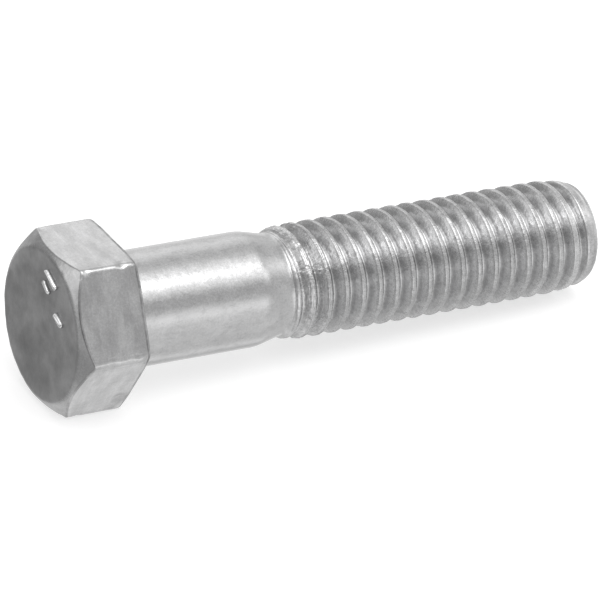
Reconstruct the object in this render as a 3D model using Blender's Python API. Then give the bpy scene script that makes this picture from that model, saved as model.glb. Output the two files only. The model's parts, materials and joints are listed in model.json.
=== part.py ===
"""Hex bolt, 7/16-14 UNC x 2 in, part threaded, zinc plated steel.

The bolt is one cold forged piece: head, shank and rolled thread are the same steel,
so the model is one closed body called hex_bolt.

Frame: metres, the bolt's axis along +X, +Z up.  The origin is the centre of the head's
flat top, the seat under the head is at x = HEAD_HEIGHT and the tip points along +X.
Two of the six wrench flats face +Z and -Z.
"""
import math

import bmesh
import bpy
from mathutils import Matrix

MM = 0.001

# Head
ACROSS_FLATS = 15.60 * MM
HEAD_HEIGHT = 7.10 * MM
TOP_RADIUS = 7.35 * MM
CHAMFER_ANGLE = math.radians(35.0)
CORNER_RADIUS = 0.75 * MM
SEAT_EDGE_BEVEL = 0.30 * MM

# Shank: distances along it are measured from the seat under the head
LENGTH = 50.80 * MM
BODY_RADIUS = 5.53 * MM
FILLET_RADIUS = 0.40 * MM
BODY_END = 14.20 * MM
BLANK_RADIUS = 4.94 * MM
THREAD_START = 17.20 * MM
ROOT_IN_HEAD = 1.00 * MM

# Thread: 14 turns to the inch, right-handed
PITCH = 25.4 / 14 * MM
MAJOR_RADIUS = 5.53 * MM
THREAD_DEPTH = 0.6134 * PITCH
CREST_HALF = 0.045
SHOULDER_HALF = 0.085
SHOULDER_DROP = 0.045 * PITCH
ROOT_HALF = 0.115
ROOT_RUN_IN = 2.40 * MM
LIP_RUN_IN = 1.00 * MM
PHASE = 0.497

# Tip
LEAD_START = 47.60 * MM
LEAD_END = 50.00 * MM
LEAD_RADIUS = 5.24 * MM
TIP_RADIUS = 4.70 * MM

# Fineness
SEGMENTS = 44
CHAMFER_SEGMENTS = 96
FILLET_STEPS = 3
TAPER_STEPS = 5
SNAP = 0.02 * MM
MERGE = 1e-7


def clear_scene():
    """Remove every object that the new file starts with."""
    for item in list(bpy.data.objects):
        bpy.data.objects.remove(item, do_unlink=True)


def along_x(x_centre):
    """Turn a solid standing on Z to lie along X with its middle at x_centre."""
    return Matrix.Translation((x_centre, 0.0, 0.0)) @ Matrix.Rotation(math.pi / 2, 4, "Y")


def object_from(bm, name):
    """Make a scene object from a bmesh, with its faces turned outwards."""
    bmesh.ops.recalc_face_normals(bm, faces=bm.faces)
    mesh = bpy.data.meshes.new(name)
    bm.to_mesh(mesh)
    bm.free()
    item = bpy.data.objects.new(name, mesh)
    bpy.context.collection.objects.link(item)
    return item


def head_blank():
    """Hexagonal prism with rounded corners and a softened edge round the seat."""
    bm = bmesh.new()
    bmesh.ops.create_cone(
        bm,
        cap_ends=True,
        segments=6,
        radius1=ACROSS_FLATS / math.sqrt(3.0),
        radius2=ACROSS_FLATS / math.sqrt(3.0),
        depth=HEAD_HEIGHT,
        matrix=along_x(HEAD_HEIGHT / 2),
    )
    corners = [e for e in bm.edges if abs(e.verts[0].co.x - e.verts[1].co.x) > HEAD_HEIGHT / 2]
    bmesh.ops.bevel(
        bm,
        geom=corners,
        offset=CORNER_RADIUS * math.tan(math.radians(30.0)),
        offset_type="OFFSET",
        segments=3,
        profile=0.5,
        affect="EDGES",
    )
    seat_edges = [e for e in bm.edges if all(v.co.x > HEAD_HEIGHT * 0.99 for v in e.verts)]
    bmesh.ops.bevel(
        bm,
        geom=seat_edges,
        offset=SEAT_EDGE_BEVEL,
        offset_type="OFFSET",
        segments=2,
        profile=0.5,
        affect="EDGES",
    )
    return object_from(bm, "head_blank")


def chamfer_cone():
    """Wide cone whose wall trims the corners of the head's top."""
    widening = 1.0 / math.tan(CHAMFER_ANGLE)
    before = 1.0 * MM
    depth = HEAD_HEIGHT + 2 * before
    bm = bmesh.new()
    bmesh.ops.create_cone(
        bm,
        cap_ends=True,
        segments=CHAMFER_SEGMENTS,
        radius1=TOP_RADIUS - before * widening,
        radius2=TOP_RADIUS + (depth - before) * widening,
        depth=depth,
        matrix=along_x(depth / 2 - before),
    )
    return object_from(bm, "chamfer_cone")


def combine(target, tool, operation):
    """Apply one exact Boolean of the tool to the target and discard the tool."""
    modifier = target.modifiers.new(operation.lower(), "BOOLEAN")
    modifier.operation = operation
    modifier.solver = "EXACT"
    modifier.object = tool
    bpy.context.view_layer.objects.active = target
    bpy.ops.object.modifier_apply(modifier=modifier.name)
    bpy.data.objects.remove(tool, do_unlink=True)


def body_profile():
    """Distance and radius of each ring of the plain body, from inside the head to the thread."""
    rings = [(-ROOT_IN_HEAD, BODY_RADIUS + FILLET_RADIUS)]
    for step in range(FILLET_STEPS + 1):
        turn = math.pi / 2 * step / FILLET_STEPS
        along = FILLET_RADIUS * (1 - math.cos(turn))
        radius = BODY_RADIUS + FILLET_RADIUS * (1 - math.sin(turn))
        rings.append((along, radius))
    rings.append((BODY_END, BODY_RADIUS))
    for step in range(1, TAPER_STEPS):
        share = step / TAPER_STEPS
        along = BODY_END + (THREAD_START - BODY_END) * share
        ease = 0.5 - 0.5 * math.cos(math.pi * share)
        rings.append((along, BODY_RADIUS + (BLANK_RADIUS - BODY_RADIUS) * ease))
    return rings


def thread_form(phase, minor):
    """Radius across one turn of the thread: phase 0 is mid root, 0.5 mid crest."""
    off_crest = abs(phase - 0.5)
    if off_crest <= CREST_HALF + 1e-9:
        return MAJOR_RADIUS
    if off_crest <= SHOULDER_HALF:
        share = (off_crest - CREST_HALF) / (SHOULDER_HALF - CREST_HALF)
        return MAJOR_RADIUS - SHOULDER_DROP * share
    root_edge = 0.5 - ROOT_HALF
    share = min(1.0, (off_crest - SHOULDER_HALF) / (root_edge - SHOULDER_HALF))
    shoulder = MAJOR_RADIUS - SHOULDER_DROP
    return shoulder + (minor - shoulder) * share


def tip_limit(along):
    """Largest radius allowed near the tip by the lead taper and the end chamfer."""
    if along <= LEAD_START:
        return MAJOR_RADIUS
    if along <= LEAD_END:
        share = (along - LEAD_START) / (LEAD_END - LEAD_START)
        return MAJOR_RADIUS + (LEAD_RADIUS - MAJOR_RADIUS) * share
    share = (along - LEAD_END) / (LENGTH - LEAD_END)
    return LEAD_RADIUS + (TIP_RADIUS - LEAD_RADIUS) * share


def thread_radius(along, turn_share):
    """Rolled thread: its roots sink into the blank and lips rise to full crests over the run-in."""
    phase = (along / PITCH - turn_share - PHASE) % 1.0
    into = along - THREAD_START
    sunk = min(1.0, into / ROOT_RUN_IN)
    risen = 1.0 - math.exp(-into / LIP_RUN_IN)
    minor = BLANK_RADIUS + (MAJOR_RADIUS - THREAD_DEPTH - BLANK_RADIUS) * sunk
    lip = BLANK_RADIUS + (MAJOR_RADIUS - BLANK_RADIUS) * risen
    return min(thread_form(phase, minor), lip, tip_limit(along))


def point(along, radius, turn):
    """Point at a distance along the shank, turning right-handed about +X."""
    return (HEAD_HEIGHT + along, radius * math.cos(turn), radius * math.sin(turn))


def ring_of(bm, along, radius):
    """One plain ring of vertices round the shank."""
    turns = [2 * math.pi * j / SEGMENTS for j in range(SEGMENTS)]
    return [bm.verts.new(point(along, radius, turn)) for turn in turns]


def helical_rows(bm):
    """Rows of vertices that follow the thread's helix, held between its start and the tip."""
    phases = sorted(
        [0.5 - CREST_HALF, 0.5 + CREST_HALF, 0.5 - SHOULDER_HALF, 0.5 + SHOULDER_HALF]
        + [ROOT_HALF, 1.0 - ROOT_HALF]
    )
    first = math.floor(THREAD_START / PITCH) - 2
    last = math.ceil(LENGTH / PITCH) + 2
    rows = []
    for turn_index in range(first, last):
        for phase in phases:
            row = []
            for j in range(SEGMENTS):
                share = j / SEGMENTS
                along = PITCH * (turn_index + phase + share + PHASE - 1.0)
                if along < THREAD_START + SNAP:
                    along = THREAD_START
                if along > LENGTH - SNAP:
                    along = LENGTH
                radius = thread_radius(along, share)
                row.append(bm.verts.new(point(along, radius, 2 * math.pi * share)))
            rows.append(row)
    return rows, len(phases)


def helical_faces(bm, rows, per_turn):
    """Quads between neighbouring rows; a full turn on, each row becomes a later one."""
    for low in range(len(rows) - per_turn - 1):
        for j in range(SEGMENTS - 1):
            here = rows[low]
            above = rows[low + 1]
            bm.faces.new((here[j], here[j + 1], above[j + 1], above[j]))
        seam = (rows[low][-1], rows[low + per_turn][0])
        seam_above = (rows[low + per_turn + 1][0], rows[low + 1][-1])
        bm.faces.new(seam + seam_above)


def tip_ring(bm):
    """Rim of the tip's flat end, which the last groove just reaches."""
    shares = [j / SEGMENTS for j in range(SEGMENTS)]
    radii = [thread_radius(LENGTH, share) for share in shares]
    return [bm.verts.new(point(LENGTH, r, 2 * math.pi * share)) for r, share in zip(radii, shares)]


def shank():
    """Body, taper, rolled thread and tip as one closed skin."""
    bm = bmesh.new()
    rings = [ring_of(bm, along, radius) for along, radius in body_profile()]
    rings.append(ring_of(bm, THREAD_START, BLANK_RADIUS))
    for near, far in zip(rings, rings[1:]):
        for j in range(SEGMENTS):
            k = (j + 1) % SEGMENTS
            bm.faces.new((near[j], near[k], far[k], far[j]))
    bm.faces.new(rings[0])
    rows, per_turn = helical_rows(bm)
    helical_faces(bm, rows, per_turn)
    bm.faces.new(tip_ring(bm))
    bmesh.ops.remove_doubles(bm, verts=bm.verts, dist=MERGE)
    bmesh.ops.dissolve_degenerate(bm, edges=bm.edges, dist=MERGE)
    loose = [v for v in bm.verts if not v.link_faces]
    bmesh.ops.delete(bm, geom=loose, context="VERTS")
    return object_from(bm, "shank")


def zinc_plated_steel():
    """Bright grey plated steel."""
    material = bpy.data.materials.new("zinc_plated_steel")
    material.use_nodes = True
    shader = material.node_tree.nodes["Principled BSDF"]
    shader.inputs["Base Color"].default_value = (0.56, 0.57, 0.58, 1.0)
    shader.inputs["Metallic"].default_value = 1.0
    shader.inputs["Roughness"].default_value = 0.34
    return material


def shade(item):
    """Smooth the round surfaces and keep the real edges sharp."""
    bpy.ops.object.select_all(action="DESELECT")
    item.select_set(True)
    bpy.context.view_layer.objects.active = item
    bpy.ops.object.shade_smooth()
    item.data.set_sharp_from_angle(angle=math.radians(28.0))


def build():
    """Forge the bolt: trim the head, join it to the shank and plate it."""
    clear_scene()
    bolt = head_blank()
    combine(bolt, chamfer_cone(), "INTERSECT")
    combine(bolt, shank(), "UNION")
    bolt.name = "hex_bolt"
    bolt.data.name = "hex_bolt"
    bolt.data.materials.clear()
    bolt.data.materials.append(zinc_plated_steel())
    shade(bolt)


build()
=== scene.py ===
"""Looks of the hex bolt: forged head, drawn body and rolled thread in bright zinc plate.

One fine skin stands for the CAD node.  It is a single closed surface made of rows of
vertices that run from the middle of the head's top, round the head, down the body, along
the thread's helix and in to the middle of the tip.
"""

import json
import math

import bmesh
import bpy
import numpy as np
from mathutils import Matrix, Vector


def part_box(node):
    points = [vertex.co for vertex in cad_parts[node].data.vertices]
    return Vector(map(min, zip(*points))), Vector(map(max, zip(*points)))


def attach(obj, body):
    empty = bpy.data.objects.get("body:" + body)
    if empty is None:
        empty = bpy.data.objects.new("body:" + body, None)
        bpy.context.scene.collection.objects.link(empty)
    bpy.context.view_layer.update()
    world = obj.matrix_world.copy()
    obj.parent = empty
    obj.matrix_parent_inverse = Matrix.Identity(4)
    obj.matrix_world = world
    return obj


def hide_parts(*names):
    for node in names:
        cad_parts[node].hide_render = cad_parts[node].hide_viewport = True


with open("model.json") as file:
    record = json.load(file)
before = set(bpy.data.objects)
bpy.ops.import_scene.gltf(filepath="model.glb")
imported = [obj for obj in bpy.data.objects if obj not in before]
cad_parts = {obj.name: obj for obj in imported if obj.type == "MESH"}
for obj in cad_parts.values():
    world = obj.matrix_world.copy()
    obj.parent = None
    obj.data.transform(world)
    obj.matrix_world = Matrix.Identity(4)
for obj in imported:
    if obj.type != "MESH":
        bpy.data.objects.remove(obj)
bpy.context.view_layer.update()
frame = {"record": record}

MM = 0.001
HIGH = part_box("hex_bolt")[1]
MOUNTS = {mount["name"]: mount for mount in frame["record"]["mounts"]}

# Head
SIXTH_TURN = math.radians(60.0)
HALF_SIDE = math.radians(30.0)
HEAD_HEIGHT = MOUNTS["seat"]["pos_m"][0]
HALF_FLATS = HIGH[2]
CORNER_RADIUS = 0.50 * MM
TOP_RADIUS = 7.35 * MM
CHAMFER_SLOPE = math.tan(math.radians(35.0))
TOP_DISH = 0.04 * MM
TOP_EDGE_CUT = 0.30 * MM
CHAMFER_EDGE_CUT = 0.14 * MM
SEAT_EDGE_CUT = 0.45 * MM
SEAT_CORNER_CUT = 0.75 * MM
SEAT_CORNER_REACH = math.radians(8.0)

# Shank: distances along it are measured from the seat under the head
LENGTH = HIGH[0] - HEAD_HEIGHT
BODY_RADIUS = 5.53 * MM
FILLET_RADIUS = 0.40 * MM
BODY_END = 14.40 * MM
BODY_END_CUT = 0.55 * MM
BLANK_RADIUS = 4.94 * MM
WAIST_LENGTH = 0.30 * MM
WAIST_CUT = 0.28 * MM
THREAD_START = 17.20 * MM

# The same places along the whole bolt, measured from the head's top
BODY_END_X = HEAD_HEIGHT + BODY_END
THREAD_START_X = HEAD_HEIGHT + THREAD_START
TIP_X = HEAD_HEIGHT + LENGTH

# Thread: 14 turns to the inch, right-handed, 60 degree flanks, round roots.  Half the crest's
# width and the flank's end are given off the crest's middle, in turns of pitch.
PITCH = 25.4 / 14 * MM
MAJOR_RADIUS = 5.53 * MM
CREST_HALF = 0.100
CREST_ROUNDING = 0.20 * MM
FLANK_END = 0.375
ROOT_ARC = 0.1443 * PITCH
ROOT_DEPTH = 0.6134 * PITCH
ROOT_RUN_IN = 3.4 * MM
LIP_RUN_IN = 0.8 * MM
PHASE = 0.497

# Seam between the two lips of each crest: wide and deep at first, closed after a few turns.
# Its half width and its walls are given in turns of pitch.
SEAM_DEPTH = 0.12 * MM
SEAM_DEPTH_FADE = 2.6 * MM
SEAM_HALF = 0.115
SEAM_HALF_FADE = 2.0 * MM
SEAM_WALL = 0.022

# Tip: largest radius at distances from the end, the share of the thread's depth that is left
# where it ends, and a shallow cup in the end face
TIP_FROM_END = np.array([12.8, 3.6, 1.6, 0.9, 0.3, 0.08, 0.0]) * MM
TIP_RADIUS = np.array([5.53, 5.43, 5.22, 5.06, 4.82, 4.66, 4.52]) * MM
LAST_TURN = 2.4 * MM
LAST_DEPTH = 0.45
TIP_ROUNDING = 0.30 * MM
TIP_ROUNDING_FADE = (0.5 * MM, 3.0 * MM)
EDGE_ROUNDING = 0.05 * MM
TIP_LIP = 3.9 * MM
TIP_DISH = 0.22 * MM

# Fineness: vertices to a side of the head, rows to each stretch of the profile, and places of
# the helical rows off the thread's roots and crests, in turns of pitch
SECTOR_SAMPLES = 30
CORNER_CROWDING = 0.75
TOP_RINGS = np.linspace(0.3, 7.0, 22) * MM
INNERMOST_RING = 0.15 * MM
TOP_EDGE_FROM = 6.0 * MM
EDGE_ROWS = 6
CHAMFER_ROWS = 4
RIM_ROWS = 5
FLAT_ROWS = 24
SEAT_EDGE_ROWS = 7
SEAT_ROWS = 4
FILLET_ROWS = 6
BODY_ROWS = 16
BODY_END_ROWS = 6
TAPER_ROWS = 5
WAIST_ROWS = 4
TIP_FACE_ROWS = 2
TIP_RINGS = np.linspace(0.97, 0.04, 14) * TIP_LIP
SPARE_TURNS = 2
ROW_OFFSETS = (0.025, 0.055, 0.085, 0.11, 0.135, 0.165, 0.21, 0.28, 0.36, 0.43)
SNAP = 0.02 * MM


def turn_angles():
    """Angles of the vertices in each row, crowded towards the head's six corners."""
    even = np.arange(SECTOR_SAMPLES) / SECTOR_SAMPLES * 2.0 - 1.0
    crowded = np.sin(math.pi / 2 * even)
    bent = even * (1.0 - CORNER_CROWDING) + CORNER_CROWDING * crowded
    sector = HALF_SIDE * bent
    return np.concatenate([SIXTH_TURN * k + sector for k in range(6)]) + HALF_SIDE


TURNS = turn_angles()
COUNT = len(TURNS)


def angle_off_corner(turns):
    """Angle to the head's nearest corner.  The corners lie at 0, 60, 120... degrees."""
    return np.abs((turns + HALF_SIDE) % SIXTH_TURN - HALF_SIDE)


def hexagon_radius(turns):
    """Distance from the axis to the hexagon with its rounded corners."""
    off_corner = angle_off_corner(turns)
    off_flat = HALF_SIDE - off_corner
    centre = (HALF_FLATS - CORNER_RADIUS) / math.cos(HALF_SIDE)
    root = np.maximum(CORNER_RADIUS**2 - (centre * np.sin(off_corner)) ** 2, 0.0)
    arc = centre * np.cos(off_corner) + np.sqrt(root)
    tangent = math.atan2((HALF_FLATS - CORNER_RADIUS) * math.tan(HALF_SIDE), HALF_FLATS)
    return np.where(off_flat > tangent, arc, HALF_FLATS / np.cos(off_flat))


def smooth_min(a, b, blend):
    """Smaller of two arrays with a rounded change-over of about the blend's size."""
    mix = np.clip(0.5 + 0.5 * (b - a) / blend, 0.0, 1.0)
    return b + (a - b) * mix - blend * mix * (1.0 - mix)


def ramp(values, start, end):
    """0 below start, 1 above end, smooth between."""
    share = np.clip((values - start) / (end - start), 0.0, 1.0)
    return share * share * (3.0 - 2.0 * share)


def thread_form(off_crest, minor):
    """Radius at a distance off the crest, in turns of pitch: flat crest, flank, round root."""
    flank = MAJOR_RADIUS - math.sqrt(3.0) * PITCH * (off_crest - CREST_HALF)
    form = smooth_min(np.full_like(flank, MAJOR_RADIUS), flank, CREST_ROUNDING)
    centre = MAJOR_RADIUS - ROOT_DEPTH + ROOT_ARC
    from_root = np.minimum((0.5 - off_crest) * PITCH, ROOT_ARC)
    root = centre - np.sqrt(np.maximum(ROOT_ARC**2 - from_root**2, 0.0))
    form = np.where(off_crest > FLANK_END, root, form)
    full_minor = MAJOR_RADIUS - ROOT_DEPTH
    share = (form - full_minor) / ROOT_DEPTH
    return minor + (MAJOR_RADIUS - minor) * share


def thread_radius(along, turns):
    """Rolled thread: roots sink into the blank, lips rise to crests and leave a closing seam."""
    phase = (along / PITCH - turns / (2 * math.pi) - PHASE) % 1.0
    off_crest = np.abs(phase - 0.5)
    into = np.maximum(along - THREAD_START, 0.0)
    from_end = LENGTH - along
    sunk = ramp(into, 0.0, ROOT_RUN_IN)
    minor = BLANK_RADIUS + (MAJOR_RADIUS - ROOT_DEPTH - BLANK_RADIUS) * sunk
    filled = 1.0 - ramp(from_end, 0.0, LAST_TURN)
    minor = minor + (1.0 - LAST_DEPTH) * ROOT_DEPTH * filled
    risen = 1.0 - np.exp(-into / LIP_RUN_IN)
    lip = BLANK_RADIUS + (MAJOR_RADIUS - BLANK_RADIUS) * risen
    radius = smooth_min(thread_form(off_crest, minor), lip, CREST_ROUNDING)
    radius = radius - seam_depth(off_crest, into) * risen
    limit = np.interp(from_end, TIP_FROM_END[::-1], TIP_RADIUS[::-1])
    blend = EDGE_ROUNDING + TIP_ROUNDING * (1.0 - ramp(from_end, *TIP_ROUNDING_FADE))
    return smooth_min(radius, limit, blend)


def seam_depth(off_crest, into):
    """Depth of the seam in the crest, at a distance into the thread."""
    deepest = SEAM_DEPTH * np.exp(-into / SEAM_DEPTH_FADE)
    half = SEAM_HALF * np.exp(-into / SEAM_HALF_FADE)
    inside = np.clip((half + SEAM_WALL / 2 - off_crest) / SEAM_WALL, 0.0, 1.0)
    return deepest * inside


def soft_corner(before, corner, after, cut, steps):
    """Rows that round one corner of the profile, each an array of (along, radius) per vertex."""
    back = before - corner
    ahead = after - corner
    start = corner + back / np.linalg.norm(back, axis=1, keepdims=True) * cut
    end = corner + ahead / np.linalg.norm(ahead, axis=1, keepdims=True) * cut
    rows = []
    for t in np.linspace(0.0, 1.0, steps):
        rows.append((1 - t) ** 2 * start + 2 * t * (1 - t) * corner + t**2 * end)
    return rows


def between(start, end, steps):
    """Rows strictly between two rows, crowded towards both."""
    shares = 0.5 - 0.5 * np.cos(math.pi * np.arange(1, steps + 1) / (steps + 1))
    return [start + (end - start) * share for share in shares]


def profile_point(along, radius):
    """One corner of the profile, the same or varying round the turn."""
    return np.stack([np.broadcast_to(along, COUNT), np.broadcast_to(radius, COUNT)], axis=1) * 1.0


def tip_dish(radius):
    """Depth of the shallow cup that rolling leaves in the end face."""
    return TIP_DISH * (0.5 + 0.5 * math.cos(math.pi * radius / TIP_LIP))


def seat_edge_cut():
    """How much of the head's lower edge is rounded off, more at the corners."""
    at_corner = np.exp(-((angle_off_corner(TURNS) / SEAT_CORNER_REACH) ** 2))[:, None]
    return SEAT_EDGE_CUT + (SEAT_CORNER_CUT - SEAT_EDGE_CUT) * at_corner


def head_rows():
    """Rows from near the middle of the head's top to the foot of the fillet under the head."""
    hexagon = hexagon_radius(TURNS)
    top_edge = profile_point(0.0, TOP_RADIUS)
    shoulder = profile_point((hexagon - TOP_RADIUS) * CHAMFER_SLOPE, hexagon)
    seat_rim = profile_point(HEAD_HEIGHT, hexagon)
    fillet_rim = profile_point(HEAD_HEIGHT, BODY_RADIUS + FILLET_RADIUS)
    rows = [profile_point(TOP_DISH, INNERMOST_RING)]
    for radius in TOP_RINGS:
        rows.append(profile_point(TOP_DISH * (1 - (radius / TOP_RADIUS) ** 2), radius))
    edge = soft_corner(profile_point(0.0, TOP_EDGE_FROM), top_edge, shoulder, TOP_EDGE_CUT, EDGE_ROWS)
    rim = soft_corner(top_edge, shoulder, seat_rim, CHAMFER_EDGE_CUT, RIM_ROWS)
    rows += edge + between(edge[-1], rim[0], CHAMFER_ROWS) + rim
    under = soft_corner(shoulder, seat_rim, fillet_rim, seat_edge_cut(), SEAT_EDGE_ROWS)
    rows += between(rim[-1], under[0], FLAT_ROWS) + under
    rows += between(under[-1], fillet_rim, SEAT_ROWS)
    for turn in np.linspace(0.0, math.pi / 2, FILLET_ROWS):
        along = FILLET_RADIUS * (1 - math.cos(turn))
        radius = BODY_RADIUS + FILLET_RADIUS * (1 - math.sin(turn))
        rows.append(profile_point(HEAD_HEIGHT + along, radius))
    return rows


def body_rows(first):
    """Rows from the fillet's foot, down the body and its taper, to the ring where the thread begins."""
    body_end = profile_point(BODY_END_X, BODY_RADIUS)
    waist = profile_point(THREAD_START_X - WAIST_LENGTH, BLANK_RADIUS)
    start = profile_point(THREAD_START_X, BLANK_RADIUS)
    end = soft_corner(first, body_end, waist, BODY_END_CUT, BODY_END_ROWS)
    neck = soft_corner(body_end, waist, start, WAIST_CUT, WAIST_ROWS)
    return between(first, end[0], BODY_ROWS) + end + between(end[-1], neck[0], TAPER_ROWS) + neck + [start]


def tip_rows():
    """Rows from the rim of the tip in to near the middle of its end face."""
    rim = profile_point(TIP_X, thread_radius(np.full(COUNT, LENGTH), TURNS))
    lip = profile_point(TIP_X, TIP_LIP)
    cup = [profile_point(TIP_X - tip_dish(radius), radius) for radius in TIP_RINGS]
    return [rim] + between(rim, lip, TIP_FACE_ROWS) + [lip] + cup


def thread_rows():
    """Helical rows: distance along and radius of every vertex, before trimming to the thread."""
    phases = [0.5, 0.0]
    for offset in ROW_OFFSETS:
        phases += [0.5 - offset, 0.5 + offset]
    phases = sorted(phases)
    first = math.floor(THREAD_START / PITCH) - SPARE_TURNS
    last = math.ceil(LENGTH / PITCH) + SPARE_TURNS
    starts = np.array([k + phase for k in range(first, last) for phase in phases])
    along = PITCH * (starts[:, None] + PHASE + TURNS[None, :] / (2 * math.pi))
    return along, thread_radius(along, TURNS[None, :]), len(phases)


def quads_between(low, high, low_next, high_next):
    """Faces between two rows given their vertices and the next vertices round the turn."""
    return np.stack([low, low_next, high_next, high], axis=-1).reshape(-1, 4)


def tidy_faces(quads):
    """Drop folded quads and turn those with one pair of equal corners into triangles."""
    a, b, c, d = quads.T
    lower = (a == d) & (b != c)
    upper = (b == c) & (a != d)
    whole = (a != d) & (b != c)
    faces = quads[whole].tolist()
    faces += np.stack([a, b, c], axis=1)[lower].tolist()
    faces += np.stack([a, b, d], axis=1)[upper].tolist()
    return faces


class Skin:
    """Vertices and faces of the bolt's skin, gathered row by row."""

    def __init__(self):
        self.points = []
        self.faces = []
        self.count = 0

    def add(self, along, radius, turns):
        """Add vertices at places along the axis, round it and off it, and return their numbers."""
        first = self.count
        self.points.append(np.stack([along, radius * np.cos(turns), radius * np.sin(turns)], axis=1))
        self.count += len(along)
        return np.arange(first, self.count)

    def add_rings(self, rows):
        """Add plain rings of vertices."""
        return [self.add(row[:, 0], row[:, 1], TURNS) for row in rows]

    def join(self, rings):
        """Faces between neighbouring rings."""
        for low, high in zip(rings, rings[1:]):
            quads = quads_between(low, high, np.roll(low, -1), np.roll(high, -1))
            self.faces.extend(quads.tolist())

    def join_helix(self, ids, per_turn):
        """Faces between neighbouring helical rows, which step on by one turn where they close."""
        low = ids[: -per_turn - 1]
        high = ids[1:-per_turn]
        low_next = np.concatenate([low[:, 1:], ids[per_turn:-1, :1]], axis=1)
        high_next = np.concatenate([high[:, 1:], ids[per_turn + 1 :, :1]], axis=1)
        self.faces += tidy_faces(quads_between(low, high, low_next, high_next))

    def cap(self, ring, middle, backwards):
        """Faces from a ring to the vertex in its middle."""
        after = np.roll(ring, -1)
        pairs = zip(after, ring) if backwards else zip(ring, after)
        self.faces.extend([int(a), int(b), middle] for a, b in pairs)


def bolt_mesh():
    """Vertices and faces of the whole skin."""
    skin = Skin()
    rows = head_rows()
    rings = skin.add_rings(rows + body_rows(rows[-1]))
    skin.join(rings)
    end_rings = skin.add_rings(tip_rows())

    along, radius, per_turn = thread_rows()
    inside = (along > THREAD_START + SNAP) & (along < LENGTH - SNAP)
    ids = np.where(along <= THREAD_START + SNAP, rings[-1][None, :], end_rings[0][None, :])
    turns = np.broadcast_to(TURNS, along.shape)[inside]
    ids[inside] = skin.add(HEAD_HEIGHT + along[inside], radius[inside], turns)
    skin.join_helix(ids, per_turn)
    skin.join(end_rings)

    middles = skin.add(np.array([TOP_DISH, TIP_X - TIP_DISH]), np.zeros(2), np.zeros(2)).tolist()
    skin.cap(rings[0], middles[0], backwards=True)
    skin.cap(end_rings[-1], middles[1], backwards=False)
    return np.concatenate(skin.points), skin.faces


def lattice_hash(key, seed):
    """Random value between -1 and 1 for each whole-number place."""
    mixed = key[:, 0] * 374761393 + key[:, 1] * 668265263 + key[:, 2] * 1274126177
    mixed = (mixed + seed * 97531) & 0xFFFFFFFF
    mixed = ((mixed ^ (mixed >> 13)) * 1103515245) & 0xFFFFFFFF
    return ((mixed ^ (mixed >> 16)) & 0xFFFF) / 32767.5 - 1.0


def lattice_noise(points, size, seed):
    """Smooth random values between -1 and 1 with features of the given size."""
    place = points / size
    cell = np.floor(place).astype(np.int64)
    part = place - cell
    part = part * part * (3.0 - 2.0 * part)
    total = np.zeros(len(points))
    for corner in range(8):
        step = np.array([corner & 1, corner >> 1 & 1, corner >> 2 & 1])
        weight = np.prod(np.where(step == 1, part, 1.0 - part), axis=1)
        total += lattice_hash(cell + step, seed) * weight
    return total


# Unevenness that forging, rolling and handling leave: height, size of its features, noise seed
FORGED = (0.024 * MM, 2.6 * MM, 1)
FORGED_FINE = (0.009 * MM, 0.9 * MM, 2)
DRAWN = (0.006 * MM, 1.8 * MM, 3)
RAGGED_RIM = (0.030 * MM, 0.45 * MM, 7)
CREST_CHIPS = (0.035 * MM, 0.50 * MM, 4)
CREST_GRIT = (0.014 * MM, 0.35 * MM, 5)
TORN_LIPS = (0.045 * MM, 0.26 * MM, 8)
CORNER_CHIPS = (0.07 * MM, 0.8 * MM, 6)

# Where each kind lies: limits between which it fades in or out, and the width of the rim
HEAD_FADE = (HEAD_HEIGHT - 0.1 * MM, HEAD_HEIGHT)
SIDE_FADE = (0.05 * MM, 0.25 * MM)
RIM_WIDTH = 0.3 * MM
RIM_FADE = (0.1 * MM, 0.4 * MM)
THREAD_FADE = (THREAD_START_X, THREAD_START_X + 1.0 * MM)
CREST_FADE = (5.25 * MM, 5.45 * MM)
CORNER_SHARE_FADE = (0.93, 0.985)
CORNER_FADE = (8.2 * MM, 8.7 * MM)
TORN_IN = (THREAD_START_X, THREAD_START_X + 0.5 * MM)
TORN_OUT = (THREAD_START_X + 2.5 * MM, THREAD_START_X + 6.0 * MM)
TORN_RADII = (4.95 * MM, 5.15 * MM)
CREST_CHIP_RANGE = (0.2, 0.8)
CORNER_CHIP_RANGE = (0.3, 0.9)

# Dents: distance along the bolt, angle round it, reach and depth, in millimetres and degrees
DENTS = (
    (5.30, 119.5, 0.28, 0.16),
    (5.90, 226.0, 0.55, 0.22),
    (1.60, 121.0, 0.25, 0.08),
    (6.60, 181.0, 0.40, 0.12),
    (1.30, 62.0, 0.35, 0.12),
    (4.20, 299.0, 0.45, 0.15),
    (6.50, 1.0, 0.40, 0.14),
    (2.20, 240.5, 0.30, 0.08),
)


def unevenness(points, kind):
    """Heights of one kind of unevenness."""
    height, size, seed = kind
    return height * lattice_noise(points, size, seed)


def chips(points, kind, limits):
    """Depths of one kind of unevenness that only cuts in, where its noise is high."""
    depth, size, seed = kind
    return depth * ramp(lattice_noise(points, size, seed), *limits)


def dents(points):
    """Depths of the dents on the head's edges."""
    depths = np.zeros(len(points))
    for along, turn, reach, depth in DENTS:
        place = math.radians(turn)
        edge = float(hexagon_radius(np.array([place]))[0])
        centre = np.array([along * MM, edge * math.cos(place), edge * math.sin(place)])
        away = np.linalg.norm(points - centre, axis=1) / (reach * MM)
        depths += depth * MM * np.exp(-(away**2))
    return depths


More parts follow.
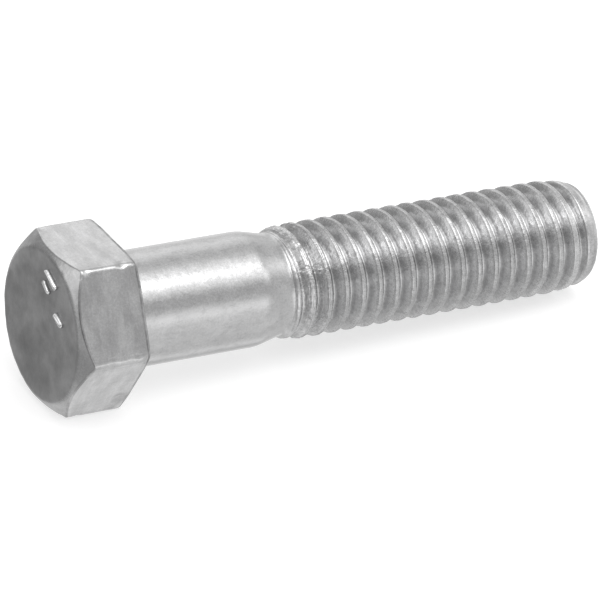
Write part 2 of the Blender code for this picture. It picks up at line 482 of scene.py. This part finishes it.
def head_wear(points, x, radius):
    """The head's share of the wear: forging, a ragged rim round the top and chipped corners."""
    turns = np.arctan2(points[:, 2], points[:, 1])
    on_head = 1.0 - ramp(x, *HEAD_FADE)
    from_edge = (radius - TOP_RADIUS) / RIM_WIDTH
    rim = np.exp(-(from_edge**2)) * (1.0 - ramp(x, *RIM_FADE))
    corner = ramp(radius / hexagon_radius(turns), *CORNER_SHARE_FADE) * ramp(radius, *CORNER_FADE) * on_head
    proud = unevenness(points, FORGED) * on_head
    proud += unevenness(points, FORGED_FINE) * on_head * ramp(x, *SIDE_FADE)
    proud += unevenness(points, RAGGED_RIM) * rim
    return proud - chips(points, CORNER_CHIPS, CORNER_CHIP_RANGE) * corner


def shank_wear(points, x, radius):
    """The shank's share: drawing, gritty and chipped crests, and torn lips in the first turns."""
    crest = ramp(radius, *CREST_FADE) * ramp(x, *THREAD_FADE)
    torn = ramp(x, *TORN_IN) * (1.0 - ramp(x, *TORN_OUT)) * ramp(radius, *TORN_RADII)
    proud = unevenness(points, DRAWN) * ramp(x, *HEAD_FADE)
    proud += unevenness(points, CREST_GRIT) * crest
    proud += unevenness(points, TORN_LIPS) * torn
    return proud - chips(points, CREST_CHIPS, CREST_CHIP_RANGE) * crest


def wear(points):
    """How far each vertex stands proud of the true shape, as forging and handling leave it."""
    x = points[:, 0]
    radius = np.hypot(points[:, 1], points[:, 2])
    return head_wear(points, x, radius) + shank_wear(points, x, radius) - dents(points)


def show(name, mesh):
    """A mesh as a smooth object in the scene."""
    mesh.shade_smooth()
    item = bpy.data.objects.new(name, mesh)
    bpy.context.collection.objects.link(item)
    return item


def make_skin():
    """The bolt's skin as a scene object."""
    points, faces = bolt_mesh()
    mesh = bpy.data.meshes.new("bolt_skin")
    mesh.from_pydata(points.tolist(), [], faces)
    mesh.update()
    normals = np.empty(len(points) * 3)
    mesh.vertex_normals.foreach_get("vector", normals)
    points = points + normals.reshape(-1, 3) * wear(points)[:, None]
    mesh.vertices.foreach_set("co", points.ravel())
    mesh.update()
    return show("bolt_skin", mesh)


# Plain raised strokes on the head's top, about where the photo's mark glints: both ends (y, z),
# half width and height, in millimetres
STROKES = (
    ((-0.35, 5.75), (-2.00, 5.00), 0.30, 0.34),
    ((0.00, 4.45), (-0.85, 3.95), 0.26, 0.30),
    ((-2.75, 2.40), (-3.70, 1.95), 0.28, 0.32),
)
STROKE_SINK = 0.10 * MM
STROKE_SIDES = 28
STROKE_RINGS = 9
STROKE_CROWN = 0.10
STROKE_BULGE = 0.8
STROKE_SHOULDER = 0.9

# Unevenness of the strokes, sideways as a length and upwards as a share of their height
STROKE_WANDER = (0.10 * MM, 0.42 * MM, 11)
STROKE_LUMPS = (0.45, 0.35 * MM, 12)


def stroke_mesh(shape, start, end, half_width, rise):
    """One raised stroke: a rounded bar with steep sides and a closed, sunk underside."""
    start, end = Vector(start) * MM, Vector(end) * MM
    line = (end - start).normalized()
    rings = []
    for depth in np.linspace(0.0, 1.0, STROKE_RINGS):
        out = math.sin(math.pi / 2 * depth) ** STROKE_BULGE
        up = math.cos(math.pi / 2 * depth) ** STROKE_SHOULDER
        size = half_width * MM * (STROKE_CROWN + (1.0 - STROKE_CROWN) * out)
        height = (rise * MM + STROKE_SINK) * up - STROKE_SINK
        ring = []
        for k in range(STROKE_SIDES):
            turn = 2 * math.pi * k / STROKE_SIDES
            side = Vector((math.cos(turn), math.sin(turn)))
            hub = end if side.dot(line) > 0 else start
            spot = hub + side * size
            ring.append(shape.verts.new((-height, spot.x, spot.y)))
        rings.append(ring)
    for above, below in zip(rings, rings[1:]):
        for k in range(STROKE_SIDES):
            j = (k + 1) % STROKE_SIDES
            shape.faces.new((above[k], below[k], below[j], above[j]))
    shape.faces.new(rings[0])
    shape.faces.new(rings[-1][::-1])


def make_strokes():
    """The raised strokes as one piece, a little uneven."""
    shape = bmesh.new()
    for start, end, half_width, rise in STROKES:
        stroke_mesh(shape, start, end, half_width, rise)
    bmesh.ops.recalc_face_normals(shape, faces=shape.faces)
    for vertex in shape.verts:
        place = np.array([vertex.co])
        above = max(0.0, -vertex.co.x)
        sideways = float(unevenness(place, STROKE_WANDER)[0])
        upward = float(unevenness(place, STROKE_LUMPS)[0])
        vertex.co.y += sideways
        vertex.co.x += above * upward
    mesh = bpy.data.meshes.new("raised_strokes")
    shape.to_mesh(mesh)
    shape.free()
    return show("raised_strokes", mesh)


class Nodes:
    """Short way to build nodes; apart from add, a method that makes a node returns its output."""

    def __init__(self, tree):
        self.tree = tree

    def add(self, kind, **settings):
        """A new node with its settings."""
        node = self.tree.nodes.new(kind)
        for name, value in settings.items():
            setattr(node, name, value)
        return node

    def link(self, source, target):
        """Join two sockets."""
        self.tree.links.new(source, target)

    def feed(self, value, socket):
        """Give a socket a plain number or another socket's value."""
        if isinstance(value, (int, float)):
            socket.default_value = value
        else:
            self.link(value, socket)

    def math(self, operation, first, second=None, clamp=False):
        """One math step."""
        node = self.add("ShaderNodeMath", operation=operation, use_clamp=clamp)
        self.feed(first, node.inputs[0])
        if second is not None:
            self.feed(second, node.inputs[1])
        return node.outputs[0]

    def product(self, first, *others):
        """Product of all."""
        for other in others:
            first = self.math("MULTIPLY", first, other)
        return first

    def total(self, first, *others):
        """Sum of all."""
        for other in others:
            first = self.math("ADD", first, other)
        return first

    def dot(self, vector, fixed):
        """Dot product with a fixed vector."""
        node = self.add("ShaderNodeVectorMath", operation="DOT_PRODUCT")
        self.link(vector, node.inputs[0])
        node.inputs[1].default_value = fixed
        return node.outputs["Value"]

    def shift(self, vector, fixed):
        """Sum with a fixed vector."""
        node = self.add("ShaderNodeVectorMath", operation="ADD")
        self.link(vector, node.inputs[0])
        node.inputs[1].default_value = fixed
        return node.outputs[0]

    def stretch(self, vector, scale):
        """A place scaled along each axis: a small scale draws the noise out that way."""
        node = self.add("ShaderNodeMapping")
        self.link(vector, node.inputs["Vector"])
        node.inputs["Scale"].default_value = scale
        return node.outputs[0]

    def combine(self, x, y, z):
        """A place made of three numbers."""
        node = self.add("ShaderNodeCombineXYZ")
        for value, socket in zip((x, y, z), node.inputs):
            self.link(value, socket)
        return node.outputs[0]

    def noise(self, vector, pattern):
        """Noise with a pattern's scale, detail and roughness."""
        node = self.add("ShaderNodeTexNoise")
        self.link(vector, node.inputs["Vector"])
        for name, number in zip(("Scale", "Detail", "Roughness"), pattern):
            node.inputs[name].default_value = number
        return node.outputs["Fac"]

    def span(self, value, limits, extremes):
        """Carry a value smoothly from one extreme to the other between two limits."""
        node = self.add("ShaderNodeMapRange")
        node.clamp = True
        node.interpolation_type = "SMOOTHSTEP"
        self.link(value, node.inputs["Value"])
        for name, number in zip(("From Min", "From Max", "To Min", "To Max"), (*limits, *extremes)):
            self.feed(number, node.inputs[name])
        return node.outputs["Result"]

    def fade_in(self, value, limits):
        """0 below the limits and 1 above them."""
        return self.span(value, limits, (0.0, 1.0))

    def fade_out(self, value, limits):
        """1 below the limits and 0 above them."""
        return self.span(value, limits, (1.0, 0.0))

    def band(self, value, rise, fall):
        """1 between two pairs of limits and 0 beyond them."""
        return self.product(self.fade_in(value, rise), self.fade_out(value, fall))

    def blend(self, zone, outside, inside):
        """One value outside a zone and another inside it."""
        return self.span(zone, (0.0, 1.0), (outside, inside))

    def patchy(self, noise, limits, zone, extremes):
        """Factor that follows a noise between two extremes inside a zone and is 1 outside it."""
        least = self.blend(zone, 1.0, extremes[0])
        most = self.blend(zone, 1.0, extremes[1])
        return self.span(noise, limits, (least, most))


# Noise is read this far from its own origin, where its octaves would line up into a fan
NOISE_SHIFT = (0.31, 0.27, 0.43)

# Noise patterns: scale, detail and roughness; and how some are drawn out along x, y and z
MOTTLE = (700.0, 4.0, 0.6)
FINE = (5200.0, 3.0, 0.6)
CLOUD = (330.0, 3.0, 0.6)
SMEAR = (750.0, 3.0, 0.6)
SMEAR_STRETCH = (1.0, 0.35, 0.35)
STREAKS = (3600.0, 2.0, 0.6)
STREAKS_STRETCH = (1.0, 0.10, 0.10)
GRIT = (2600.0, 3.0, 0.6)
STAIN = (1500.0, 5.0, 0.75)
STAIN_STRETCH = (0.6, 1.0, 1.0)
CREASE_BREAKS = (500.0, 3.0, 0.6)
GRAIN = (4200.0, 4.0, 0.6)
GRAIN_STRETCH = (0.45, 1.0, 1.0)
DRAG = (3800.0, 2.0, 0.5)
DRAG_STRETCH = (0.10, 1.0, 1.0)
ROLLED_LINES = (5000.0, 2.0, 0.6)
ROLLED_TURN = 0.0005
PITS = (2300.0, 2.0, 0.5)
PEEL = (1300.0, 2.0, 0.5)

# Limits of the material's zones: angle off a corner, places along the bolt and radii
CORNER_ANGLES = (math.radians(2.5), math.radians(5.0))
CORNER_RADII = (8.2 * MM, 8.5 * MM)
HEAD_END = (HEAD_HEIGHT - 0.2 * MM, HEAD_HEIGHT)
TOP_DEPTHS = (0.15 * MM, 0.35 * MM)
TOP_RADII = (7.20 * MM, 7.55 * MM)
TOP_RIM_RADII = (5.2 * MM, 7.2 * MM)
STROKE_DEPTHS = (-0.12 * MM, -0.04 * MM)
SHANK_BEGIN = (HEAD_HEIGHT, HEAD_HEIGHT + 0.3 * MM)
TAPER_BEGIN = (BODY_END_X - 3.0 * MM, BODY_END_X)
THREAD_BEGIN = (THREAD_START_X, THREAD_START_X + 1.0 * MM)
RUN_IN_BEGIN = (THREAD_START_X - 0.3 * MM, THREAD_START_X + 0.3 * MM)
RUN_IN_END = (THREAD_START_X + 2.5 * MM, THREAD_START_X + 5.0 * MM)
ROOT_RADII = (4.45 * MM, 5.15 * MM)
CREST_RADII = (5.30 * MM, 5.50 * MM)
WORN_RADII = (5.00 * MM, 5.35 * MM)
# Band on the thread's upper flanks that gets a painted highlight
SHINE_BEGIN = (5.05 * MM, 5.25 * MM)
SHINE_END = (5.35 * MM, 5.50 * MM)
# Bands of painted shade along the chamfer's edge and the seat's edge
SHOULDER_INTO_FLAT = (0.06 * MM, 0.18 * MM)
SHOULDER_PAST_CHAMFER = (0.08 * MM, 0.20 * MM)
SEAT_CREASE_BEGIN = (HEAD_HEIGHT - 0.54 * MM, HEAD_HEIGHT - 0.40 * MM)
SEAT_CREASE_END = (HEAD_HEIGHT - 0.12 * MM, HEAD_HEIGHT - 0.02 * MM)
TIP_DARKER_BEGIN = (TIP_X - 1.1 * MM, TIP_X - 0.5 * MM)

# Noise values between which a pattern does its work
WIDE = (0.30, 0.70)
STREAKS_RANGE = (0.35, 0.65)
GRIT_RANGE = (0.32, 0.68)
STAIN_RANGE = (0.48, 0.66)
CREASE_RANGE = (0.36, 0.66)

# Tone of the plating, and the factors that lighten or darken it
MOTTLE_TONE = (0.55, 0.61)
SMEAR_TONE = (0.88, 1.10)
STREAKS_TONE = (0.97, 1.015)
GRIT_TONE = (0.93, 1.05)
FINE_TONE = (0.94, 1.05)
# The top's cloud tone: random clouds, and darker overall as painted shade; its rim gets painted light
CLOUD_AND_SHADE_TONE = (0.58, 0.78)
TOP_RIM_PAINTED_LIGHT = 0.18
# Strokes lightened as a painted highlight
STROKE_HIGHLIGHT_TONE = 1.45
STAIN_SHADE = (-0.02, 0.10)
# Painted shade along the creases
CREASE_SHADE = (0.12, 0.40)
SEAT_CREASE_WEIGHT = 1.5
# Roots darkened as painted shade
ROOT_SHADE_TONE = 0.85
CREST_TONE = 0.85
# Band below the crests lightened as a painted highlight
PAINTED_SHINE_TONE = 1.12
TIP_TONE = (1.0, 0.84)
BLUE_GAIN = 1.005

# Roughness of the plating, and what the dull top and the worn crests add
PLATE_ROUGHNESS = (0.14, 0.22)
DULL_ROUGHNESS = 0.17
WORN_ROUGHNESS = 0.11

# Heights of the fine relief
GRAIN_ON_HEAD = 0.013 * MM
GRAIN_ON_BODY = 0.0038 * MM
GRAIN_IN_THREAD = 0.012 * MM
GRAIN_ON_CREST = 0.032 * MM
GRAIN_IN_RUN_IN = 0.012 * MM
CORNER_GRAIN_SHARE = 0.60
PITS_IN_THREAD = 0.021 * MM
PITS_IN_RUN_IN = 0.070 * MM
PEEL_ON_HEAD = 0.020 * MM
PEEL_ON_CORNER = 0.006 * MM
PEEL_ON_SHANK = 0.014 * MM
DRAG_ON_HEAD = 0.006 * MM
DRAG_ON_SHANK = 0.001 * MM
LINES_ON_SHANK = 0.005 * MM
LINES_IN_RUN_IN = 0.055 * MM
LINES_BEFORE_TAPER = 0.15


class Surface:
    """Places and zones on the bolt that the zinc material's parts share, all as sockets."""

    def __init__(self, nodes):
        here = nodes.add("ShaderNodeTexCoord").outputs["Object"]
        parts = nodes.add("ShaderNodeSeparateXYZ")
        nodes.link(here, parts.inputs[0])
        self.x, y, z = parts.outputs
        self.place = nodes.shift(here, NOISE_SHIFT)
        self.radius = nodes.math("SQRT", nodes.total(nodes.product(y, y), nodes.product(z, z)))
        self.turn = nodes.math("ARCTAN2", z, y)
        self.off_corner = nodes.math("PINGPONG", self.turn, HALF_SIDE)
        self.fine = nodes.noise(self.place, FINE)
        self.find_head(nodes)
        self.find_shank(nodes)

    def find_head(self, nodes):
        """The head, its corners, its dull top that also carries painted shade, and the strokes on it."""
        self.on_head = nodes.fade_out(self.x, HEAD_END)
        near_corner = nodes.fade_out(self.off_corner, CORNER_ANGLES)
        far_out = nodes.fade_in(self.radius, CORNER_RADII)
        self.on_corner = nodes.product(near_corner, self.on_head, far_out)
        on_top = nodes.product(nodes.fade_out(self.x, TOP_DEPTHS), nodes.fade_out(self.radius, TOP_RADII))
        self.on_stroke = nodes.fade_out(self.x, STROKE_DEPTHS)
        # The dull top: rougher plating, and painted shade that darkens its colour
        self.dull_and_shaded_top = nodes.math("SUBTRACT", on_top, self.on_stroke, clamp=True)

    def find_shank(self, nodes):
        """The shank, the thread, its roots and crests, and its first turns."""
        self.on_shank = nodes.fade_in(self.x, SHANK_BEGIN)
        self.in_thread = nodes.fade_in(self.x, THREAD_BEGIN)
        self.in_root = nodes.product(nodes.fade_out(self.radius, ROOT_RADII), self.in_thread)
        self.on_crest = nodes.product(nodes.fade_in(self.radius, CREST_RADII), self.in_thread)
        self.run_in = nodes.band(self.x, RUN_IN_BEGIN, RUN_IN_END)


def painted_crease_shade(nodes, at):
    """Painted shade: dark, broken lines along the rounded edges where the chamfer meets the flats and along
    the seat's edge.
    """
    chamfer = nodes.product(nodes.math("SUBTRACT", at.radius, TOP_RADIUS), CHAMFER_SLOPE)
    past_chamfer = nodes.math("SUBTRACT", at.x, chamfer)
    off_flat = nodes.math("SUBTRACT", HALF_SIDE, at.off_corner)
    outward = nodes.product(at.radius, nodes.math("COSINE", off_flat))
    into_flat = nodes.math("SUBTRACT", HALF_FLATS, outward)
    near_flat = nodes.fade_out(into_flat, SHOULDER_INTO_FLAT)
    near_chamfer = nodes.fade_out(past_chamfer, SHOULDER_PAST_CHAMFER)
    seat_edge = nodes.product(nodes.band(at.x, SEAT_CREASE_BEGIN, SEAT_CREASE_END), SEAT_CREASE_WEIGHT)
    # Painted shade over the edges' rounding
    shaded_creases = nodes.total(nodes.product(near_flat, near_chamfer), seat_edge)
    breaks = nodes.span(nodes.noise(at.place, CREASE_BREAKS), CREASE_RANGE, CREASE_SHADE)
    return nodes.math("SUBTRACT", 1.0, nodes.product(shaded_creases, breaks))


def head_tone(nodes, at):
    """Smears and streaks on the flats; a clouded top darkened with painted shade, with painted light at its
    rim; strokes lightened as a painted highlight; painted shade along creases.
    """
    smear = nodes.noise(nodes.stretch(at.place, SMEAR_STRETCH), SMEAR)
    smear = nodes.patchy(smear, WIDE, at.on_head, SMEAR_TONE)
    streaks = nodes.noise(nodes.stretch(at.place, STREAKS_STRETCH), STREAKS)
    streaks = nodes.patchy(streaks, STREAKS_RANGE, at.on_head, STREAKS_TONE)
    # Painted light at the top's rim, lightening its painted shade
    rim = nodes.product(at.dull_and_shaded_top, nodes.span(at.radius, TOP_RIM_RADII, (0.0, TOP_RIM_PAINTED_LIGHT)))
    # Painted highlight: the strokes' colour lightened so that they glint
    strokes = nodes.blend(at.on_stroke, 1.0, STROKE_HIGHLIGHT_TONE)
    # Random clouds on the top, darker overall as painted shade
    cloud_and_shade = nodes.span(nodes.noise(at.place, CLOUD), WIDE, CLOUD_AND_SHADE_TONE)
    clouded_shaded_top = nodes.blend(at.dull_and_shaded_top, 1.0, cloud_and_shade)
    return nodes.product(smear, streaks, nodes.total(rim, 1.0), strokes, clouded_shaded_top, painted_crease_shade(nodes, at))


def shank_tone(nodes, at):
    """Faint stains, grit in the thread, roots darkened with painted shade, darker crests, a band between
    them lightened as a painted highlight, and a darker tip.
    """
    grit = nodes.patchy(nodes.noise(at.place, GRIT), GRIT_RANGE, at.in_thread, GRIT_TONE)
    stain = nodes.noise(nodes.stretch(at.place, STAIN_STRETCH), STAIN)
    stain = nodes.product(nodes.span(stain, STAIN_RANGE, STAIN_SHADE), at.on_shank)
    stain = nodes.math("SUBTRACT", 1.0, stain)
    # Painted shade in the thread's roots
    root = nodes.blend(at.in_root, 1.0, ROOT_SHADE_TONE)
    crest = nodes.blend(at.on_crest, 1.0, CREST_TONE)
    # Painted highlight on a band just below the crests
    painted_shine = nodes.product(nodes.band(at.radius, SHINE_BEGIN, SHINE_END), at.in_thread)
    painted_shine = nodes.blend(painted_shine, 1.0, PAINTED_SHINE_TONE)
    # Darker towards the tip's end
    tip = nodes.span(at.x, TIP_DARKER_BEGIN, TIP_TONE)
    return nodes.product(grit, stain, root, crest, painted_shine, tip)


def zinc_colour(nodes, at):
    """Mottled grey, a trace towards blue."""
    mottle = nodes.span(nodes.noise(at.place, MOTTLE), WIDE, MOTTLE_TONE)
    fine = nodes.span(at.fine, WIDE, FINE_TONE)
    tone = nodes.product(mottle, fine, head_tone(nodes, at), shank_tone(nodes, at))
    colour = nodes.add("ShaderNodeCombineColor")
    nodes.link(tone, colour.inputs["Red"])
    nodes.link(tone, colour.inputs["Green"])
    nodes.link(nodes.product(tone, BLUE_GAIN), colour.inputs["Blue"])
    return colour.outputs[0]


def zinc_roughness(nodes, at):
    """Bright plating, rougher on the head's top and on the worn crests past the first turns."""
    plate = nodes.span(at.fine, WIDE, PLATE_ROUGHNESS)
    dull_and_shaded_top = nodes.blend(at.dull_and_shaded_top, 0.0, DULL_ROUGHNESS)
    worn = nodes.product(at.in_thread, nodes.blend(at.run_in, WORN_ROUGHNESS, 0.0))
    worn = nodes.product(nodes.fade_in(at.radius, WORN_RADII), worn)
    return nodes.total(plate, dull_and_shaded_top, worn)


def grain_height(nodes, at):
    """Grain everywhere: finest on the body, coarsest on the crests."""
    height = nodes.blend(at.on_shank, GRAIN_ON_HEAD, GRAIN_ON_BODY)
    height = nodes.blend(at.in_thread, height, GRAIN_IN_THREAD)
    height = nodes.total(height, nodes.product(at.on_crest, GRAIN_ON_CREST))
    height = nodes.product(height, nodes.blend(at.on_corner, 1.0, CORNER_GRAIN_SHARE))
    height = nodes.total(height, nodes.product(at.run_in, GRAIN_IN_RUN_IN))
    return nodes.product(nodes.noise(nodes.stretch(at.place, GRAIN_STRETCH), GRAIN), height)


def pits_height(nodes, at):
    """Pits in the thread, deepest in its first turns."""
    height = nodes.blend(at.run_in, PITS_IN_THREAD, PITS_IN_RUN_IN)
    height = nodes.blend(at.in_thread, 0.0, height)
    return nodes.product(nodes.noise(at.place, PITS), height)


def peel_height(nodes, at):
    """Gentle waves of the plating."""
    height = nodes.blend(at.on_corner, PEEL_ON_HEAD, PEEL_ON_CORNER)
    height = nodes.blend(at.on_shank, height, PEEL_ON_SHANK)
    return nodes.product(nodes.noise(at.place, PEEL), height)


def drag_height(nodes, at):
    """Marks drawn out along the bolt by forging and drawing."""
    height = nodes.blend(at.on_shank, DRAG_ON_HEAD, DRAG_ON_SHANK)
    return nodes.product(nodes.noise(nodes.stretch(at.place, DRAG_STRETCH), DRAG), height)


def lines_height(nodes, at):
    """Lines round the shank, faint on the body and strong where the thread was rolled in."""
    rolled = nodes.combine(at.x, at.radius, nodes.product(at.turn, ROLLED_TURN))
    height = nodes.blend(at.run_in, LINES_ON_SHANK, LINES_IN_RUN_IN)
    from_taper = nodes.span(at.x, TAPER_BEGIN, (LINES_BEFORE_TAPER, 1.0))
    return nodes.product(nodes.noise(rolled, ROLLED_LINES), from_taper, at.on_shank, height)


def zinc_normal(nodes, at):
    """Bump from the fine relief."""
    relief = (grain_height, pits_height, peel_height, drag_height, lines_height)
    bump = nodes.add("ShaderNodeBump")
    bump.inputs["Strength"].default_value = 1.0
    bump.inputs["Distance"].default_value = 1.0
    nodes.link(nodes.total(*(part(nodes, at) for part in relief)), bump.inputs["Height"])
    return bump.outputs[0]


def zinc_plate():
    """Bright zinc over forged, drawn and rolled steel."""
    material = bpy.data.materials.new("zinc_plate")
    material.use_nodes = True
    nodes = Nodes(material.node_tree)
    shader = material.node_tree.nodes["Principled BSDF"]
    shader.inputs["Metallic"].default_value = 1.0
    at = Surface(nodes)
    nodes.link(zinc_colour(nodes, at), shader.inputs["Base Color"])
    nodes.link(zinc_roughness(nodes, at), shader.inputs["Roughness"])
    nodes.link(zinc_normal(nodes, at), shader.inputs["Normal"])
    return material


WHITE = (1.0, 1.0, 1.0, 1.0)

# Floor: plain grey that glows a little, so that it comes out almost white
FLOOR_GREY = (0.55, 0.55, 0.55, 1.0)
FLOOR_ROUGHNESS = 0.9
FLOOR_GLOW = 0.60
FLOOR_REACH = 3.0
FLOOR_GAP = 0.03 * MM
LAST_CREST = 3.4 * MM


def floor_material():
    """Plain pale studio floor."""
    material = bpy.data.materials.new("pale_floor")
    material.use_nodes = True
    shader = material.node_tree.nodes["Principled BSDF"]
    shader.inputs["Base Color"].default_value = FLOOR_GREY
    shader.inputs["Roughness"].default_value = FLOOR_ROUGHNESS
    shader.inputs["Emission Color"].default_value = WHITE
    shader.inputs["Emission Strength"].default_value = FLOOR_GLOW
    return material


def make_floor():
    """Floor that the head's edge and the tip's last full crest both rest on."""
    head_x, head_z = HEAD_HEIGHT - SEAT_EDGE_CUT, -HALF_FLATS
    crest_x, crest_z = TIP_X - LAST_CREST, -MAJOR_RADIUS
    slope = math.atan2(crest_z - head_z, crest_x - head_x)
    corners = [(x * FLOOR_REACH, y * FLOOR_REACH, 0.0) for x, y in ((-1, -1), (1, -1), (1, 1), (-1, 1))]
    mesh = bpy.data.meshes.new("floor")
    mesh.from_pydata(corners, [], [(0, 1, 2, 3)])
    turn = Matrix.Rotation(-slope, 4, "Y")
    mesh.transform(Matrix.Translation((head_x, 0.0, head_z - FLOOR_GAP)) @ turn)
    mesh.materials.append(floor_material())
    floor = bpy.data.objects.new("floor", mesh)
    bpy.context.collection.objects.link(floor)
    floor.visible_glossy = False


# Brightness of the studio: even, plus a slope that makes it brighter towards the tip and below
ROOM = 0.46
ROOM_SLOPE = (0.25, -0.04, -0.26)
DARKEST = 0.05

# Soft lights and cards, and black flags with a strength below 0, all round the bolt.  Azimuth
# turns from +X to +Y, elevation is up from the floor, and the spread is the angle at which the
# light has fallen to half, all in degrees.  The room's two values and the first 18 lights come
# from a least-squares fit to the metal's brightness in the photo, two of them changed since,
# and the last seven were placed one by one.
LIGHTS = (
    # azimuth, elevation, spread, strength
    (-69, 79, 21.5, 2.25),
    (81, 31, 21.5, 1.09),
    (166, 26, 21.5, 0.98),
    (-56, 57, 6.2, 0.88),
    (-96, -8, 21.5, 0.84),
    (-121, 60, 21.5, 0.52),
    (-62, -1, 8.7, 0.43),
    (118, -79, 21.5, 0.41),
    (9, 6, 21.5, 0.65),
    (-45, 64, 6.2, 2.78),
    (-42, 38, 6.2, 0.67),
    (-77, 53, 6.2, 1.40),
    (31, 1, 8.7, 0.90),
    (13, -61, 8.7, 0.40),
    (33, -65, 21.5, -0.38),
    (62, -10, 8.7, 0.30),
    (-84, -39, 21.5, 0.11),
    (-33, 43, 6.2, 0.63),
    (186, -8, 14.0, 0.15),
    (-8, 33, 10.0, 0.60),
    (-5, -25, 14.0, -0.10),
    (50, -42, 10.0, 0.20),
    (137, -58, 15.0, -0.17),
    (211, 52, 10.0, 0.65),
    (0, 24, 7.0, 0.45),
)


def toward(azimuth, elevation):
    """Unit vector at an azimuth and elevation in degrees."""
    a, e = math.radians(azimuth), math.radians(elevation)
    return math.cos(a) * math.cos(e), math.sin(a) * math.cos(e), math.sin(e)


def soft_light(nodes, direction, azimuth, elevation, spread, strength):
    """Glow of one light, seen from the bolt in a direction."""
    sharpness = math.log(2.0) / (1.0 - math.cos(math.radians(spread)))
    facing = nodes.dot(direction, toward(azimuth, elevation))
    fall = nodes.product(nodes.math("SUBTRACT", facing, 1.0), sharpness)
    return nodes.product(nodes.math("EXPONENT", fall), strength)


def studio():
    """Pale room with soft lights, drawn on the sky round the bolt; the camera sees plain white."""
    world = bpy.data.worlds.new("room")
    bpy.context.scene.world = world
    world.use_nodes = True
    nodes = Nodes(world.node_tree)
    back = world.node_tree.nodes["Background"]
    facing = nodes.add("ShaderNodeVectorMath", operation="NORMALIZE")
    nodes.link(nodes.add("ShaderNodeTexCoord").outputs["Generated"], facing.inputs[0])
    direction = facing.outputs[0]
    glows = [soft_light(nodes, direction, *light) for light in LIGHTS]
    total = nodes.total(nodes.dot(direction, ROOM_SLOPE), ROOM, *glows)
    total = nodes.math("MAXIMUM", total, DARKEST)
    seen = nodes.add("ShaderNodeLightPath").outputs["Is Camera Ray"]
    plain = nodes.add("ShaderNodeMix", data_type="FLOAT")
    nodes.link(seen, plain.inputs[0])
    nodes.link(total, plain.inputs[2])
    plain.inputs[3].default_value = 1.0
    nodes.link(plain.outputs[0], back.inputs["Strength"])
    back.inputs["Color"].default_value = WHITE


# Camera: about 680 mm from the bolt's middle, on the head's side and above, turned as Euler
# angles; place, turn and lens come from a fit to the bolt's outline in the photo
CAMERA_PLACE = Vector((-290.34, -501.62, 323.06)) * MM
CAMERA_TURN = (61.112, -6.104, -29.036)
CAMERA_LENS = 429.58
CAMERA_SENSOR = 36.0
CAMERA_CLIP = (0.05, 20.0)


def camera():
    """Long lens that frames the whole bolt."""
    lens = bpy.data.cameras.new("camera")
    lens.sensor_width = CAMERA_SENSOR
    lens.lens = CAMERA_LENS
    lens.clip_start, lens.clip_end = CAMERA_CLIP
    item = bpy.data.objects.new("camera", lens)
    item.location = CAMERA_PLACE
    item.rotation_euler = [math.radians(turn) for turn in CAMERA_TURN]
    bpy.context.collection.objects.link(item)
    bpy.context.scene.camera = item


bpy.context.scene.view_settings.view_transform = "Standard"
zinc = zinc_plate()
for piece in (make_skin(), make_strokes()):
    piece.data.materials.append(zinc)
    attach(piece, "root")
    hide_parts("hex_bolt")
make_floor()
studio()
camera()

bpy.context.view_layer.update()
